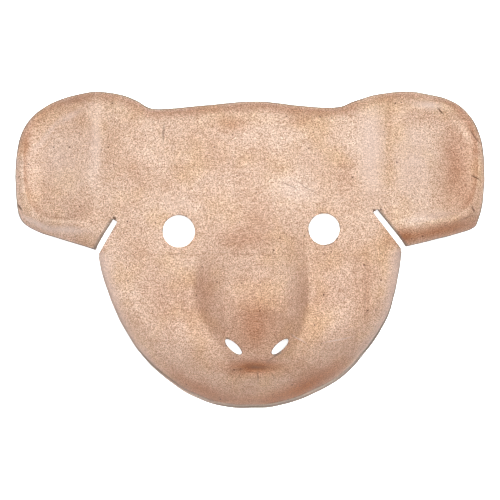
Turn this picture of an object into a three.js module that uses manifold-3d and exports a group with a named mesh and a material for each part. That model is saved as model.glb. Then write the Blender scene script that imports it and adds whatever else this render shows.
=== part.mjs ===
// Animal mask moulded from layers of kraft paper, lying face up: one thin shell with a
// muzzle, two broad dished ears, round eye holes, slanting nostrils and a slit below each ear.
// Millimetres, +Z out of the face, +Y towards the forehead, +X towards the viewer's right.
// It rests on the flat flange round its jaw and on the turned-back tips of its ears.
import * as THREE from 'three';
import Module from 'manifold-3d';
import { mergeVertices } from 'three/addons/utils/BufferGeometryUtils.js';

// Paper wall, and the flat flange that trimming left round the jaw
const wall = 1.8;
const flangeWidth = 1.9;

// Front outline: y = 0 is the level of the slits' mouths
const maskWidth = 226.4;
const crownRise = 75.6;
const jawDrop = 76;

// Depths above the surface that the mask lies on
const crownDepth = 44;
const muzzleRise = 17.5;
const earTipDepth = 11;
const lipDepth = 12;
const lipWidth = 9.5;
const lipEdge = 0.4;
const lipCurve = 1.4;
const jawWallWidth = 30;
const jawCurve = 1.7;
const sweepPower = 1.7;

// Muzzle: its ridge and its mouth stand to the viewer's right of the middle, as the photo
// shows; mouthLevel is a share of the jaw's drop
const muzzleRidge = 6;
const muzzleWidth = 53;
const muzzleFall = 1.4;
const mouthOffset = 3.2;
const mouthLevel = -0.735;
const mouthHalfWidth = 11;
const mouthCreaseDepth = 3.2;
const mouthCreaseHeight = 2.8;
const mouthTurnUp = 1.8;

// Ears: a shallow dish inside a rounded ridge, and a valley where the ear meets the head.
// dishLean is how much deeper the dish is at its outer side, as a share of its depth; the
// ridge starts at the outward place ridgeStart and is whole after ridgeGrowth. The ridge's
// values are shares of the dish, and valleyFoot is one of the crown's rise.
const dishDepth = 4;
const dishLean = 0.8;
const dishPower = 2.7;
const dishWallPower = 3.5;
const ridgeHeight = 1.5;
const ridgeRadius = 1.06;
const ridgeWidth = 0.1;
const ridgeStart = -1.1;
const ridgeGrowth = 0.7;
const valleyDepth = 1.5;
const valleyWidth = 4;
const valleyFoot = 0.24;

// Eye sockets and cheeks
const socketDepth = 1.8;
const socketRadius = 13;
const cheekHeight = 2;
const cheekRadius = 13;

// Cut-outs
const eyeDiameter = 15;
const slitLength = 22.5;
const slitWidth = 2.8;
const slitEndWidth = 2.3;
const slitTaper = 0.7;
const slitTrim = 0.3;
const nostrilLength = 9.9;
const nostrilWidth = 3.6;
const cutReach = 30;

// Mesh density: samples between two rows of an outline table, rings from edge to hub, and
// where the hub lies: its level is a share of the crown's rise
const jawSteps = 3;
const crownSteps = 2;
const eyeSteps = 20;
const nostrilSteps = 14;
const hubLevel = 0.45;
const hubShare = 0.94;
const firstInnerRing = 4;
const cornerSetback = 0.05;
const kneeWalls = 1.3;
const edgeRings = [0, 0.1, 0.24, 0.46, 0.74, 1];
const innerRingCount = 14;

// Outline from the chin past the jaw's corner and the cheek to the slit. out is a share of
// half the mask's width, down of the jaw's drop; hub is where the section ends on the middle
// line.
const jawRows = [
  { leftOut: 0, leftDown: 1, rightOut: 0, rightDown: 1, hub: 0 },
  { leftOut: 0.126, leftDown: 0.983, rightOut: 0.131, rightDown: 0.981, hub: 0.05 },
  { leftOut: 0.256, leftDown: 0.914, rightOut: 0.26, rightDown: 0.915, hub: 0.1 },
  { leftOut: 0.382, leftDown: 0.78, rightOut: 0.388, rightDown: 0.804, hub: 0.155 },
  { leftOut: 0.475, leftDown: 0.635, rightOut: 0.49, rightDown: 0.645, hub: 0.215 },
  { leftOut: 0.549, leftDown: 0.458, rightOut: 0.574, rightDown: 0.455, hub: 0.28 },
  { leftOut: 0.597, leftDown: 0.29, rightOut: 0.612, rightDown: 0.29, hub: 0.345 },
  { leftOut: 0.63, leftDown: 0.137, rightOut: 0.634, rightDown: 0.125, hub: 0.385 },
];

// Wall of the jaw from the slits' level down to the chin: the bends are its width as a share
// of the widest, and the steeps the share of its height that stands upright
const wallRows = [
  { at: 0, leftBend: 0.24, leftSteep: 0.9, rightBend: 0.26, rightSteep: 0.84 },
  { at: -0.13, leftBend: 0.27, leftSteep: 0.88, rightBend: 0.29, rightSteep: 0.82 },
  { at: -0.27, leftBend: 0.31, leftSteep: 0.85, rightBend: 0.35, rightSteep: 0.78 },
  { at: -0.42, leftBend: 0.38, leftSteep: 0.78, rightBend: 0.47, rightSteep: 0.65 },
  { at: -0.58, leftBend: 0.5, leftSteep: 0.65, rightBend: 0.62, rightSteep: 0.5 },
  { at: -0.72, leftBend: 0.66, leftSteep: 0.55, rightBend: 0.8, rightSteep: 0.27 },
  { at: -0.85, leftBend: 0.85, leftSteep: 0.33, rightBend: 0.88, rightSteep: 0.12 },
  { at: -0.93, leftBend: 0.9, leftSteep: 0.18, rightBend: 0.9, rightSteep: 0.08 },
  { at: -1, leftBend: 0.88, leftSteep: 0.06, rightBend: 0.88, rightSteep: 0.06 },
];

// Outline from the slit along the ear's underside, up its side, over its top and down to its
// root, then along the brow to the middle of the forehead. up is a share of the crown's rise,
// lip of the widest lip, and steep is the share of the lip's depth that stands upright.
const crownRows = [
  { leftOut: 0.812, leftUp: 0.074, rightOut: 0.807, rightUp: 0.075, hub: 0.6, lip: 1, steep: 0.1 },
  { leftOut: 0.912, leftUp: 0.124, rightOut: 0.934, rightUp: 0.132, hub: 0.73, lip: 0.72, steep: 0.25 },
  { leftOut: 0.966, leftUp: 0.19, rightOut: 0.964, rightUp: 0.191, hub: 0.77, lip: 0.52, steep: 0.68 },
  { leftOut: 0.985, leftUp: 0.308, rightOut: 0.984, rightUp: 0.327, hub: 0.79, lip: 0.5, steep: 0.94 },
  { leftOut: 0.99, leftUp: 0.492, rightOut: 0.989, rightUp: 0.537, hub: 0.8, lip: 0.5, steep: 0.95 },
  { leftOut: 0.977, leftUp: 0.677, rightOut: 0.976, rightUp: 0.693, hub: 0.79, lip: 0.52, steep: 0.87 },
  { leftOut: 0.944, leftUp: 0.796, rightOut: 0.943, rightUp: 0.816, hub: 0.77, lip: 0.54, steep: 0.74 },
  { leftOut: 0.873, leftUp: 0.896, rightOut: 0.874, rightUp: 0.922, hub: 0.73, lip: 0.57, steep: 0.68 },
  { leftOut: 0.767, leftUp: 0.964, rightOut: 0.763, rightUp: 0.98, hub: 0.66, lip: 0.6, steep: 0.66 },
  { leftOut: 0.65, leftUp: 0.996, rightOut: 0.637, rightUp: 0.999, hub: 0.575, lip: 0.7, steep: 0.65 },
  { leftOut: 0.54, leftUp: 0.977, rightOut: 0.527, rightUp: 0.976, hub: 0.485, lip: 0.72, steep: 0.66 },
  { leftOut: 0.473, leftUp: 0.935, rightOut: 0.435, rightUp: 0.932, hub: 0.41, lip: 0.68, steep: 0.68 },
  { leftOut: 0.401, leftUp: 0.885, rightOut: 0.362, rightUp: 0.894, hub: 0.345, lip: 0.62, steep: 0.71 },
  { leftOut: 0.253, leftUp: 0.896, rightOut: 0.235, rightUp: 0.898, hub: 0.225, lip: 0.56, steep: 0.76 },
  { leftOut: 0.133, leftUp: 0.912, rightOut: 0.121, rightUp: 0.918, hub: 0.115, lip: 0.56, steep: 0.77 },
  { leftOut: 0, leftUp: 0.927, rightOut: 0, rightUp: 0.927, hub: 0, lip: 0.6, steep: 0.75 },
];

// Slits between ear and cheek: turn is the slit's angle above the horizontal in degrees, and
// cheekLead how far the cheek's corner stands out past the ear's, as a share of the length.
const slitRows = [
  { side: -1, mouthOut: 0.6415, mouthUp: -0.0095, length: 0.76, turn: 58.5, cheekLead: 0.098 },
  { side: 1, mouthOut: 0.6465, mouthUp: 0.0115, length: 1, turn: 51.2, cheekLead: 0.053 },
];

// out and across are shares of half the mask's width, up of the crown's rise
const eyeRows = [
  { side: -1, out: 0.296, up: 0.116, diameter: 1 },
  { side: 1, out: 0.308, up: 0.13, diameter: 0.97 },
];
const dishRows = [
  { side: -1, out: 0.787, up: 0.545, across: 0.168, tall: 0.352, valleyOut: 0.622 },
  { side: 1, out: 0.778, up: 0.549, across: 0.183, tall: 0.346, valleyOut: 0.596 },
];

// out is a share of half the mask's width, down of the jaw's drop
const cheekRows = [
  { side: -1, out: 0.318, down: 0.528 },
  { side: 1, out: 0.309, down: 0.501 },
];

// beside is a share of the muzzle's width from the mouth's middle line, turn in degrees
const nostrilRows = [
  { beside: -0.207, down: 0.597, turn: -42.7 },
  { beside: 0.205, down: 0.596, turn: 42 },
];

// Depth of the head down the middle, as a share of the crown's depth. at is a share of the
// crown's rise above the slits' level, and of the jaw's drop, less than nothing, below it.
const headRows = [
  { at: 1, depth: 0.8 },
  { at: 0.8, depth: 0.88 },
  { at: 0.6, depth: 0.94 },
  { at: 0.4, depth: 0.985 },
  { at: 0.13, depth: 1 },
  { at: -0.13, depth: 1 },
  { at: -0.4, depth: 0.985 },
  { at: -0.66, depth: 0.93 },
  { at: -0.87, depth: 0.85 },
  { at: -1, depth: 0.78 },
];

// Muzzle from the bridge to the mouth: rise, its two flanks as shares of its width, and the
// power that squares its section
const muzzleRows = [
  { at: 0.44, rise: 0, left: 0.44, right: 0.32, power: 1.9 },
  { at: 0.26, rise: 0.06, left: 0.48, right: 0.34, power: 1.9 },
  { at: 0.1, rise: 0.24, left: 0.54, right: 0.37, power: 2 },
  { at: -0.04, rise: 0.55, left: 0.59, right: 0.395, power: 2.3 },
  { at: -0.15, rise: 0.84, left: 0.615, right: 0.41, power: 2.7 },
  { at: -0.26, rise: 1, left: 0.615, right: 0.415, power: 3 },
  { at: -0.36, rise: 0.95, left: 0.585, right: 0.405, power: 2.9 },
  { at: -0.45, rise: 0.79, left: 0.53, right: 0.375, power: 2.6 },
  { at: -0.54, rise: 0.57, left: 0.455, right: 0.335, power: 2.4 },
  { at: -0.63, rise: 0.34, left: 0.38, right: 0.285, power: 2.2 },
  { at: -0.73, rise: 0.13, left: 0.31, right: 0.235, power: 2.1 },
  { at: -0.84, rise: 0, left: 0.27, right: 0.2, power: 2 },
];

const halfWidth = maskWidth / 2;
const earSweep = 1 - earTipDepth / crownDepth;
const bell = (distance, width) => Math.exp(-((distance / width) ** 2));

// Smooth curve through one column of a table whose rows run down from the highest place
function readTable(rows, place, column) {
  if (place >= rows[0].at) return rows[0][column];
  const last = rows.length - 1;
  if (place <= rows[last].at) return rows[last][column];
  const i = rows.findIndex((row) => row.at < place) - 1;
  const slope = (k) => {
    const before = rows[Math.max(k - 1, 0)];
    const after = rows[Math.min(k + 1, last)];
    return (after[column] - before[column]) / (after.at - before.at);
  };
  const span = rows[i + 1].at - rows[i].at;
  const t = (place - rows[i].at) / span;
  return rows[i][column] * (1 + 2 * t) * (1 - t) ** 2
    + slope(i) * span * t * (1 - t) ** 2
    + rows[i + 1][column] * t * t * (3 - 2 * t)
    - slope(i + 1) * span * t * t * (1 - t);
}

const levelShare = (y) => y / (y > 0 ? crownRise : jawDrop);

function muzzleHeight(x, y) {
  const level = levelShare(y);
  const beside = x - muzzleRidge;
  const flank = muzzleWidth * readTable(muzzleRows, level, beside < 0 ? 'left' : 'right');
  const across = Math.abs(beside) / flank;
  if (across >= 1) return 0;
  const power = readTable(muzzleRows, level, 'power');
  return muzzleRise * readTable(muzzleRows, level, 'rise') * (1 - across ** power) ** muzzleFall;
}

// The mouth is a short crease that turns up at its ends
function mouthCrease(x, y) {
  const along = (x - mouthOffset) / mouthHalfWidth;
  const level = mouthLevel * jawDrop + mouthTurnUp * along * along;
  return mouthCreaseDepth * bell(y - level, mouthCreaseHeight) * bell(along, 1);
}

function earRelief(x, y) {
  let height = 0;
  for (const ear of dishRows) {
    const outward = (ear.side * x / halfWidth - ear.out) / ear.across;
    const upward = (y / crownRise - ear.up) / ear.tall;
    const radius = (Math.abs(outward) ** dishPower + Math.abs(upward) ** dishPower) ** (1 / dishPower);
    const depth = dishDepth * (1 + dishLean * outward);
    if (radius < 1) height -= depth * (1 - radius ** dishWallPower);
    const grown = THREE.MathUtils.clamp((outward - ridgeStart) / ridgeGrowth, 0, 1);
    height += ridgeHeight * grown * bell(radius - ridgeRadius, ridgeWidth);
    const fade = 1 / (1 + Math.exp((valleyFoot * crownRise - y) / valleyWidth));
    height -= valleyDepth * fade * bell(x - ear.side * ear.valleyOut * halfWidth, valleyWidth);
  }
  return height;
}

function headHeight(x, y) {
  const sweep = 1 - earSweep * Math.min(Math.abs(x) / halfWidth, 1) ** sweepPower;
  let height = crownDepth * sweep * readTable(headRows, levelShare(y), 'depth');
  height += muzzleHeight(x, y) + earRelief(x, y) - mouthCrease(x, y);
  for (const eye of eyeRows) {
    const away = Math.hypot(x - eye.side * eye.out * halfWidth, y - eye.up * crownRise);
    height -= socketDepth * bell(away, socketRadius);
  }
  for (const cheek of cheekRows) {
    const away = Math.hypot(x - cheek.side * cheek.out * halfWidth, y + cheek.down * jawDrop);
    height += cheekHeight * bell(away, cheekRadius);
  }
  return height;
}

// A slit's two corners at its mouth, and the direction in which it runs into the head
function slitFrame(slit) {
  const turn = THREE.MathUtils.degToRad(slit.turn);
  const inward = new THREE.Vector2(-slit.side * Math.cos(turn), Math.sin(turn));
  const toEar = new THREE.Vector2(slit.side * Math.sin(turn), Math.cos(turn));
  const mouth = new THREE.Vector2(slit.side * slit.mouthOut * halfWidth, slit.mouthUp * crownRise);
  const offset = slitWidth / 2 - slitTrim;
  const lead = slit.cheekLead * slitLength;
  const earCorner = mouth.clone().addScaledVector(toEar, offset);
  const cheekCorner = mouth.clone().addScaledVector(toEar, -offset).addScaledVector(inward, -lead);
  return { mouth, inward, toEar, earCorner, cheekCorner, lead, length: slit.length * slitLength };
}

const hubPoint = (share) => new THREE.Vector2(share * halfWidth, hubLevel * crownRise);

// Where a section that starts at a slit's corner meets the hub line, along the slit
function slitHub(corner, inward) {
  const run = (hubLevel * crownRise - corner.y) / inward.y;
  return (corner.x + inward.x * run) / halfWidth;
}

// Samples an outline table: each sample holds its place and its hub, and its bend's width and
// upright share where the rows name them
function sampleRows(rows, steps) {
  const curve = (corners) => new THREE.CatmullRomCurve3(corners, false, 'catmullrom', 0.5);
  const path = curve(rows.map((row) => new THREE.Vector3(row.x, row.y, row.hub)));
  const bends = curve(rows.map((row) => new THREE.Vector3(row.bend ?? 0, row.steep ?? 0, 0)));
  const count = (rows.length - 1) * steps;
  return Array.from({ length: count + 1 }, (_, i) => {
    const { x, y, z: hub } = path.getPoint(i / count);
    const { x: bend, y: steep } = bends.getPoint(i / count);
    return { point: new THREE.Vector2(x, y), hub, bend, steep };
  });
}

// The jaw from the left slit round the chin to the right one
function jawOutline(frames) {
  const half = (side) => {
    const [out, down] = side < 0 ? ['leftOut', 'leftDown'] : ['rightOut', 'rightDown'];
    return jawRows.map((row) => ({
      x: side * row[out] * halfWidth,
      y: -row[down] * jawDrop,
      hub: side * row.hub,
    }));
  };
  const end = (frame) => ({
    x: frame.cheekCorner.x,
    y: frame.cheekCorner.y,
    hub: slitHub(frame.cheekCorner, frame.inward),
  });
  const rows = [end(frames[0]), ...half(-1).reverse(), ...half(1).slice(1), end(frames[1])];
  return sampleRows(rows, jawSteps).map((sample) => {
    const level = sample.point.y / jawDrop;
    const [bends, steeps] = sample.point.x < 0 ? ['leftBend', 'leftSteep'] : ['rightBend', 'rightSteep'];
    const bend = readTable(wallRows, level, bends) * jawWallWidth;
    const steep = readTable(wallRows, level, steeps);
    return { ...sample, bend, steep, flange: flangeWidth, curve: jawCurve, jaw: true };
  });
}

// The crown from the right slit round both ears to the left one
function crownOutline(frames) {
  const half = (side) => {
    const [out, up] = side < 0 ? ['leftOut', 'leftUp'] : ['rightOut', 'rightUp'];
    return crownRows.map((row) => ({
      x: side * row[out] * halfWidth,
      y: row[up] * crownRise,
      hub: side * row.hub,
      bend: row.lip * lipWidth,
      steep: row.steep,
    }));
  };
  const end = (frame) => ({
    x: frame.earCorner.x,
    y: frame.earCorner.y,
    hub: slitHub(frame.earCorner, frame.inward),
    bend: lipWidth,
    steep: crownRows[0].steep,
  });
  const rows = [end(frames[1]), ...half(1), ...half(-1).reverse().slice(1), end(frames[0])];
  return sampleRows(rows, crownSteps).map((sample) => {
    return { ...sample, flange: lipEdge, curve: lipCurve, jaw: false };
  });
}

// Height of a section at a distance in from its edge: cut edge, flange, then the curved wall
function sectionHeight(sample, place, distance) {
  const head = headHeight(place.x, place.y);
  const rim = sample.rim + wall;
  if (distance <= sample.flange) return rim;
  const share = Math.min((distance - sample.flange) / (sample.bend - sample.flange), 1);
  const round = (1 - (1 - share) ** sample.curve) ** (1 / sample.curve);
  return rim + (head - rim) * (sample.steep + (1 - sample.steep) * round);
}

// Outer face of the shell: one ring of points for the cut edge's foot, then rings to the hub
function outerRings(outline) {
  const rings = [[], [], []];
  const shares = Array.from({ length: innerRingCount }, (_, i) => (i + 1) / innerRingCount);
  for (const sample of outline) {
    const { point } = sample;
    const hub = hubPoint(sample.hub);
    const run = hub.distanceTo(point) * hubShare;
    const inward = hub.sub(point).normalize();
    sample.inward = inward;
    const edge = headHeight(point.x, point.y);
    sample.rim = sample.jaw ? 0 : Math.max(0, edge - lipDepth);
    rings[0].push(new THREE.Vector3(point.x, point.y, sample.rim));
    rings[1].push(new THREE.Vector3(point.x, point.y, sample.rim + wall));
    const { flange, bend } = sample;
    const knee = flange + kneeWalls * wall * sample.steep + cornerSetback;
    const distances = [flange, flange + cornerSetback];
    for (const share of edgeRings) distances.push(knee + share * (bend - knee));
    for (const share of shares) distances.push(bend + share * (run - bend));
    distances.forEach((distance, k) => {
      const place = point.clone().addScaledVector(inward, distance);
      rings[k + 2] ??= [];
      rings[k + 2].push(new THREE.Vector3(place.x, place.y, sectionHeight(sample, place, distance)));
    });
  }
  return rings;
}

// Fills the narrow strip inside the last ring, working from its left end to its right end
function hubTriangles(ring) {
  const count = ring.length;
  const indices = ring.map((_, i) => i).sort((a, b) => ring[a].x - ring[b].x);
  const [west, east] = [indices[0], indices[count - 1]];
  let low = west;
  let high = west;
  const triangles = [];
  while (true) {
    const nextLow = low === east ? low : (low + 1) % count;
    const nextHigh = high === east ? high : (high - 1 + count) % count;
    if (nextLow === east && nextHigh === east) {
      if (low !== high) triangles.push([low, east, high]);
      return triangles;
    }
    if (nextHigh === high || (nextLow !== low && ring[nextLow].x <= ring[nextHigh].x)) {
      if (low !== high) triangles.push([low, nextLow, high]);
      low = nextLow;
    } else {
      triangles.push([low, nextHigh, high]);
      high = nextHigh;
    }
  }
}

// Triangles of a face whose rings all have the same number of points, closed at the hub
function faceTriangles(rings, first, flip) {
  const count = rings[0].length;
  const triangles = [];
  const add = (a, b, c) => (flip ? triangles.push(a, c, b) : triangles.push(a, b, c));
  for (let k = 0; k + 1 < rings.length; k++) {
    for (let i = 0; i < count; i++) {
      const j = (i + 1) % count;
      const near = first + k * count;
      const far = near + count;
      add(near + i, near + j, far + j);
      add(near + i, far + j, far + i);
    }
  }
  const last = first + (rings.length - 1) * count;
  for (const corners of hubTriangles(rings.at(-1))) {
    add(...corners.map((corner) => last + corner));
  }
  return triangles;
}

function meshGeometry(rings, triangles) {
  const geometry = new THREE.BufferGeometry();
  const places = rings.flat().flatMap((point) => point.toArray());
  geometry.setAttribute('position', new THREE.Float32BufferAttribute(places, 3));
  geometry.setIndex(triangles);
  return geometry;
}

// The whole shell before its cuts: the outer face, an inner face one wall behind it, and the
// flat foot between them
function shellGeometry(outline) {
  const outer = outerRings(outline);
  const count = outline.length;
  const skin = meshGeometry(outer, faceTriangles(outer, 0, false));
  skin.computeVertexNormals();
  const normals = skin.getAttribute('normal');
  const foot = outline.map((s) => {
    const place = s.point.clone().addScaledVector(s.inward, s.flange + wall);
    return new THREE.Vector3(place.x, place.y, s.rim);
  });
  const inner = [foot];
  for (let k = firstInnerRing; k < outer.length; k++) {
    inner.push(outer[k].map((p, i) => {
      const normal = new THREE.Vector3().fromBufferAttribute(normals, k * count + i);
      return p.clone().addScaledVector(normal, -wall);
    }));
  }
  const first = outer.length * count;
  const triangles = faceTriangles(outer, 0, false);
  triangles.push(...faceTriangles(inner, first, true));
  for (let i = 0; i < count; i++) {
    const j = (i + 1) % count;
    triangles.push(i, first + j, j, i, first + i, first + j);
  }
  return meshGeometry([...outer, ...inner], triangles);
}

const wasm = await Module();
wasm.setup();

// Closed geometry to solid and back
function solidOf(geometry) {
  const bare = geometry.clone();
  bare.deleteAttribute('normal');
  bare.deleteAttribute('uv');
  const merged = mergeVertices(bare, 1e-4);
  return new wasm.Manifold(new wasm.Mesh({
    numProp: 3,
    vertProperties: new Float32Array(merged.getAttribute('position').array),
    triVerts: new Uint32Array(merged.getIndex().array),
  }));
}

function geometryOf(solid) {
  const { vertProperties, triVerts } = solid.getMesh();
  const geometry = new THREE.BufferGeometry();
  geometry.setAttribute('position', new THREE.BufferAttribute(vertProperties, 3));
  geometry.setIndex(new THREE.BufferAttribute(triVerts, 1));
  geometry.computeVertexNormals();
  return geometry;
}

// A cutter right through the shell: a front outline drawn deep enough to clear the muzzle
const cutDepth = crownDepth + muzzleRise + cutReach;

function cutter(shape, curveSegments, turn = 0, place = new THREE.Vector2()) {
  const geometry = new THREE.ExtrudeGeometry(shape, { depth: cutDepth, bevelEnabled: false, curveSegments });
  geometry.rotateZ(THREE.MathUtils.degToRad(turn));
  return solidOf(geometry.translate(place.x, place.y, -cutReach / 2));
}

function eyeCutter(eye) {
  const radius = (eye.diameter * eyeDiameter) / 2;
  const shape = new THREE.Shape();
  shape.absarc(eye.side * eye.out * halfWidth, eye.up * crownRise, radius, 0, 2 * Math.PI);
  return cutter(shape, eyeSteps);
}

function nostrilCutter(nostril) {
  const shape = new THREE.Shape();
  shape.absellipse(0, 0, nostrilLength / 2, nostrilWidth / 2, 0, 2 * Math.PI);
  const x = mouthOffset + nostril.beside * muzzleWidth;
  const y = -nostril.down * jawDrop;
  return cutter(shape, nostrilSteps, nostril.turn, new THREE.Vector2(x, y));
}

// The slit narrows to its inner end; outside the mouth its cutter runs past the edge
function slitCutter(frame) {
  const at = (along, across) => frame.mouth.clone()
    .addScaledVector(frame.inward, along)
    .addScaledVector(frame.toEar, across);
  const overrun = frame.lead + flangeWidth + wall;
  const corners = [
    at(-overrun, slitWidth / 2),
    at(frame.length * slitTaper, slitWidth / 2),
    at(frame.length, slitEndWidth / 2),
    at(frame.length, -slitEndWidth / 2),
    at(frame.length * slitTaper, -slitWidth / 2),
    at(-overrun, -slitWidth / 2),
  ];
  return cutter(new THREE.Shape(corners), 1);
}

function maskShell() {
  const frames = slitRows.map(slitFrame);
  const outline = [...jawOutline(frames), ...crownOutline(frames)];
  let solid = solidOf(shellGeometry(outline));
  const cutters = [
    ...eyeRows.map(eyeCutter),
    ...nostrilRows.map(nostrilCutter),
    ...frames.map(slitCutter),
  ];
  for (const tool of cutters) solid = solid.subtract(tool);
  const geometry = geometryOf(solid);
  geometry.computeBoundingBox();
  const middle = geometry.boundingBox.getCenter(new THREE.Vector3());
  geometry.translate(-middle.x, -middle.y, 0);
  const paper = new THREE.MeshStandardMaterial({ color: 0xd8b49c, roughness: 0.85, metalness: 0 });
  const mesh = new THREE.Mesh(geometry, paper);
  mesh.name = 'mask_shell';
  return mesh;
}

const mask = new THREE.Group();
mask.add(maskShell());

export default mask;
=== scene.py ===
# Animal mask of layered kraft paper, lying face up on a white table, seen from straight above
import math
import bmesh
import bpy
from mathutils import Matrix, Vector, kdtree, noise


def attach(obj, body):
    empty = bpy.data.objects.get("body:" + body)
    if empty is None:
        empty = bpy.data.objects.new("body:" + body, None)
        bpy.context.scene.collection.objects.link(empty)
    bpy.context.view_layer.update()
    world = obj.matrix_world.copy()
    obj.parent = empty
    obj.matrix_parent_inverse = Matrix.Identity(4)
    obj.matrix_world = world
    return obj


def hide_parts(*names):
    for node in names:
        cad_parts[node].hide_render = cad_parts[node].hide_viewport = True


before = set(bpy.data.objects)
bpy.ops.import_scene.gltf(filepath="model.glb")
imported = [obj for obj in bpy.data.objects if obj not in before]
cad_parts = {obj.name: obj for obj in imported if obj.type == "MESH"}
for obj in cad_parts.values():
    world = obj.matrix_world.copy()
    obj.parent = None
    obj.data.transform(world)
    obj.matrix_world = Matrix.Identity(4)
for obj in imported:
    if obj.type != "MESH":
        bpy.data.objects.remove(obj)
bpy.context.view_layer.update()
mm = 0.001
print("frame: mask shell loaded")

# The moulded shell. Lengths are millimetres, shares follow the length named in the note.
shell = {
    "wall": 1.8,
    "flange": 1.9,               # flat trimmed edge round the jaw
    "halfWidth": 113.2,
    "crownRise": 75.6,           # from the slits' mouths up to the tops of the ears
    "jawDrop": 76.0,             # and down to the chin
    "crownDepth": 44.0,
    "earTipDepth": 11.0,
    "sweep": 1.7,                # how the ears fall back towards their tips
    "lipDepth": 12.0,            # turned-back edge of ears and forehead
    "lipWidth": 9.5,
    "lipCurve": 1.4,
    "jawBend": 30.0,             # widest bend of the jaw's wall, at the chin
    "jawCurve": 1.7,
    "hubLevel": 0.45,            # sections meet on this level, a share of crownRise
    "hubShare": 0.985,
    "cornerSetback": 0.05,
    "kneeWalls": 1.3,            # flat run behind an upright edge, in walls
    "jawSteps": 11,
    "crownSteps": 8,
    "bandRings": 22,
    "bandSpread": 1.6,           # how much its rings crowd towards the edge
    "innerRings": 60,
    "sharpAngle": 42.0,          # degrees
    # left out, left down, right out, right down, hub: chin up to the slit
    "jaw": [
        (0, 1, 0, 1, 0),
        (0.126, 0.983, 0.131, 0.981, 0.05),
        (0.256, 0.914, 0.26, 0.915, 0.1),
        (0.382, 0.78, 0.388, 0.804, 0.155),
        (0.475, 0.635, 0.49, 0.645, 0.215),
        (0.549, 0.458, 0.574, 0.455, 0.28),
        (0.597, 0.29, 0.612, 0.29, 0.345),
        (0.63, 0.137, 0.634, 0.125, 0.385),
    ],
    # level, left bend, left upright share, right bend, right upright share: slits to chin
    "jawWall": [
        (0, 0.24, 0.9, 0.26, 0.84),
        (-0.13, 0.27, 0.88, 0.29, 0.82),
        (-0.27, 0.31, 0.85, 0.35, 0.78),
        (-0.42, 0.38, 0.78, 0.47, 0.65),
        (-0.58, 0.5, 0.65, 0.62, 0.5),
        (-0.72, 0.66, 0.55, 0.8, 0.27),
        (-0.85, 0.85, 0.33, 0.88, 0.12),
        (-0.93, 0.9, 0.18, 0.9, 0.08),
        (-1, 0.88, 0.06, 0.88, 0.06),
    ],
    # left out, left up, right out, right up, hub, lip, upright share: slit to the forehead
    "crown": [
        (0.812, 0.074, 0.807, 0.075, 0.6, 1, 0.1),
        (0.912, 0.124, 0.934, 0.132, 0.73, 0.72, 0.25),
        (0.966, 0.19, 0.964, 0.191, 0.77, 0.52, 0.68),
        (0.985, 0.308, 0.984, 0.327, 0.79, 0.5, 0.94),
        (0.99, 0.492, 0.989, 0.537, 0.8, 0.5, 0.95),
        (0.977, 0.677, 0.976, 0.693, 0.79, 0.52, 0.87),
        (0.944, 0.796, 0.943, 0.816, 0.77, 0.54, 0.74),
        (0.873, 0.896, 0.874, 0.922, 0.73, 0.57, 0.68),
        (0.767, 0.964, 0.763, 0.98, 0.66, 0.6, 0.66),
        (0.65, 0.996, 0.637, 0.999, 0.575, 0.7, 0.65),
        (0.54, 0.977, 0.527, 0.976, 0.485, 0.72, 0.66),
        (0.473, 0.935, 0.435, 0.932, 0.41, 0.68, 0.68),
        (0.401, 0.885, 0.362, 0.894, 0.345, 0.62, 0.71),
        (0.253, 0.896, 0.235, 0.898, 0.225, 0.56, 0.76),
        (0.133, 0.912, 0.121, 0.918, 0.115, 0.56, 0.77),
        (0, 0.927, 0, 0.927, 0, 0.6, 0.75),
    ],
    # level, depth down the middle line
    "head": [(1, 0.8), (0.8, 0.88), (0.6, 0.94), (0.4, 0.985), (0.13, 1), (-0.13, 1),
             (-0.4, 0.985), (-0.66, 0.93), (-0.87, 0.85), (-1, 0.78)],
}

muzzle = {
    "rise": 17.5,
    "width": 53.0,
    "ridge": 6.0,                # the nose's ridge stands right of the middle
    "fall": 1.4,
    "mouthOffset": 3.2,
    "mouthLevel": -0.735,
    "mouthHalfWidth": 11.0,
    "mouthDepth": 3.2,
    "mouthHeight": 2.8,
    "mouthTurnUp": 1.8,
    # level, rise, left flank, right flank, power: bridge down to the mouth
    "rows": [(0.44, 0, 0.44, 0.32, 1.9), (0.26, 0.06, 0.48, 0.34, 1.9), (0.1, 0.24, 0.54, 0.37, 2),
             (-0.04, 0.55, 0.59, 0.395, 2.3), (-0.15, 0.84, 0.615, 0.41, 2.7), (-0.26, 1, 0.615, 0.415, 3),
             (-0.36, 0.95, 0.585, 0.405, 2.9), (-0.45, 0.79, 0.53, 0.375, 2.6),
             (-0.54, 0.57, 0.455, 0.335, 2.4), (-0.63, 0.34, 0.38, 0.285, 2.2),
             (-0.73, 0.13, 0.31, 0.235, 2.1), (-0.84, 0, 0.27, 0.2, 2)],
}

ears = {
    "dishDepth": 4.0,
    "dishLean": 0.8,             # how much deeper the dish is towards its outer side
    "dishPower": 2.7,
    "dishWallPower": 3.5,
    "ridge": 1.5,
    "ridgeRadius": 1.06,
    "ridgeWidth": 0.1,
    "ridgeStart": -1.1,
    "ridgeGrowth": 0.7,
    "valleyDepth": 1.5,
    "valleyWidth": 4.0,
    "valleyFoot": 0.24,
    # side, out, up, across, tall, valley out
    "dishes": [(-1, 0.787, 0.545, 0.168, 0.352, 0.622), (1, 0.778, 0.549, 0.183, 0.346, 0.596)],
}

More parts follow.
